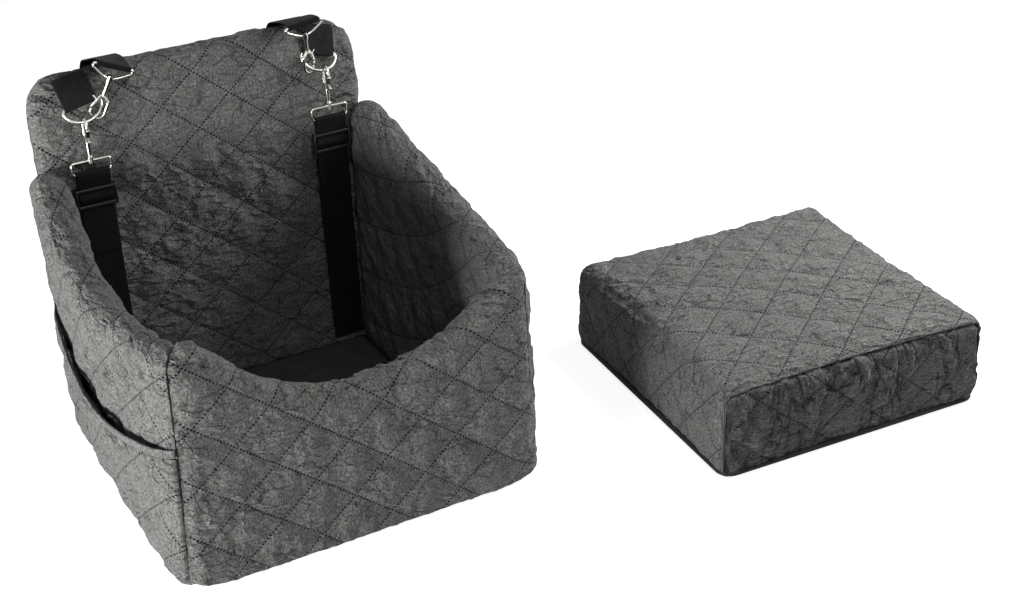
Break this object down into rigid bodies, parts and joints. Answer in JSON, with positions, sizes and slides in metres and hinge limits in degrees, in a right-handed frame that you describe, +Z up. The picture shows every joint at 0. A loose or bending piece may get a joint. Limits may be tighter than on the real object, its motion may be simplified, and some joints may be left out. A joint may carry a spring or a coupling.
{
  "type": "dog car seat",
  "caption": "Quilted foam-walled bucket seat for a small dog, with a tall leaning back, side pockets, tether straps with swivel snap hooks and a separate booster cushion.",
  "frame": {"origin": "centre of the seat's underside, on the floor", "axes": "+X to the seat's right when it is seen from behind the low front wall, +Y towards the tall back, +Z up"},
  "size_m": [1.1705, 0.6998, 0.5204],
  "materials": {
    "grey_velvet": "short-pile grey velvet, stitched in diamonds",
    "black_fabric": "plain black cloth",
    "black_webbing": "woven black webbing",
    "foam": "open-cell foam",
    "board": "stiff black board",
    "nickel": "plated wire and die-cast metal",
    "black_plastic": "moulded black plastic"
  },
  "bodies": {
    "seat": {"back_cover": "grey_velvet", "back_foam": "foam", "floor_board": "board", "floor_lining": "black_fabric", "front_cover": "grey_velvet", "front_foam": "foam", "left_cover": "grey_velvet", "left_foam": "foam", "left_gusset": "black_fabric", "left_pocket": "grey_velvet", "left_pocket_hem": "grey_velvet", "left_ring_tab": "black_webbing", "left_tether_eye": "nickel", "left_tether_strap": "black_webbing", "left_top_eye": "nickel", "left_top_strap": "black_webbing", "rear_panel": "black_fabric", "right_cover": "grey_velvet", "right_foam": "foam", "right_gusset": "black_fabric", "right_pocket": "grey_velvet", "right_pocket_hem": "grey_velvet", "right_ring_tab": "black_webbing", "right_tether_eye": "nickel", "right_tether_strap": "black_webbing", "right_top_eye": "nickel", "right_top_strap": "black_webbing", "underside": "black_fabric"},
    "left_ring": {"left_ring": "nickel"},
    "left_slider": {"left_slider": "black_plastic"},
    "left_tether_hook": {"left_tether_hook": "nickel", "left_tether_gate_pin": "nickel"},
    "left_tether_gate": {"left_tether_gate": "nickel"},
    "left_top_hook": {"left_top_hook": "nickel", "left_top_gate_pin": "nickel"},
    "left_top_gate": {"left_top_gate": "nickel"},
    "right_ring": {"right_ring": "nickel"},
    "right_slider": {"right_slider": "black_plastic"},
    "right_tether_hook": {"right_tether_hook": "nickel", "right_tether_gate_pin": "nickel"},
    "right_tether_gate": {"right_tether_gate": "nickel"},
    "right_top_hook": {"right_top_hook": "nickel", "right_top_gate_pin": "nickel"},
    "right_top_gate": {"right_top_gate": "nickel"},
    "cushion": {"cushion_cover": "grey_velvet", "cushion_foam": "foam", "cushion_base": "black_fabric"}
  },
  "joints": [
    {"name": "left_ring_turn", "type": "hinge", "parent": "seat", "child": "left_ring", "pos_m": [-0.169, 0.22847, 0.45646], "axis": [0.9781, 0.0152, 0.2073], "range_deg": [-4, 1.5]},
    {"name": "left_tether_swivel", "type": "hinge", "parent": "seat", "child": "left_tether_hook", "pos_m": [-0.17175, 0.20991, 0.38293], "axis": [0, 0.0418, 0.9991], "range_deg": [-20, 20]},
    {"name": "left_tether_gate_turn", "type": "hinge", "parent": "left_tether_hook", "child": "left_tether_gate", "pos_m": [-0.17175, 0.20607, 0.41562], "axis": [-1, 0, 0], "range_deg": [0, 22], "stiffness_Nm_per_rad": 0.03, "springref_deg": -8.59},
    {"name": "left_top_swivel", "type": "hinge", "parent": "seat", "child": "left_top_hook", "pos_m": [-0.13114, 0.20874, 0.49022], "axis": [-0.3946, 0.1763, -0.9017], "range_deg": [-12, 12]},
    {"name": "left_top_gate_turn", "type": "hinge", "parent": "left_top_hook", "child": "left_top_gate", "pos_m": [-0.14845, 0.21587, 0.46315], "axis": [-0.3176, -0.9471, -0.0462], "range_deg": [0, 22], "stiffness_Nm_per_rad": 0.03, "springref_deg": -8.59},
    {"name": "left_slider_slide", "type": "slide", "parent": "seat", "child": "left_slider", "axis": [0, -0.0418, -0.9991], "range_m": [0, 0.06]},
    {"name": "right_ring_turn", "type": "hinge", "parent": "seat", "child": "right_ring", "pos_m": [0.169, 0.22847, 0.45646], "axis": [0.9781, -0.0152, -0.2073], "range_deg": [-4, 1.5]},
    {"name": "right_tether_swivel", "type": "hinge", "parent": "seat", "child": "right_tether_hook", "pos_m": [0.17175, 0.20991, 0.38293], "axis": [0, 0.0418, 0.9991], "range_deg": [-20, 20]},
    {"name": "right_tether_gate_turn", "type": "hinge", "parent": "right_tether_hook", "child": "right_tether_gate", "pos_m": [0.17175, 0.20607, 0.41562], "axis": [-1, 0, 0], "range_deg": [0, 22], "stiffness_Nm_per_rad": 0.03, "springref_deg": -8.59},
    {"name": "right_top_swivel", "type": "hinge", "parent": "seat", "child": "right_top_hook", "pos_m": [0.14505, 0.20927, 0.49354], "axis": [0.1183, 0.1707, -0.9782], "range_deg": [-12, 12]},
    {"name": "right_top_gate_turn", "type": "hinge", "parent": "right_top_hook", "child": "right_top_gate", "pos_m": [0.15358, 0.21686, 0.46267], "axis": [-0.4139, 0.9039, 0.1077], "range_deg": [0, 22], "stiffness_Nm_per_rad": 0.03, "springref_deg": -8.59},
    {"name": "right_slider_slide", "type": "slide", "parent": "seat", "child": "right_slider", "axis": [0, -0.0418, -0.9991], "range_m": [0, 0.06]},
    {"name": "cushion_lift", "type": "slide", "parent": "seat", "child": "cushion", "axis": [0, 0, 1], "range_m": [0, 0.45]}
  ]
}
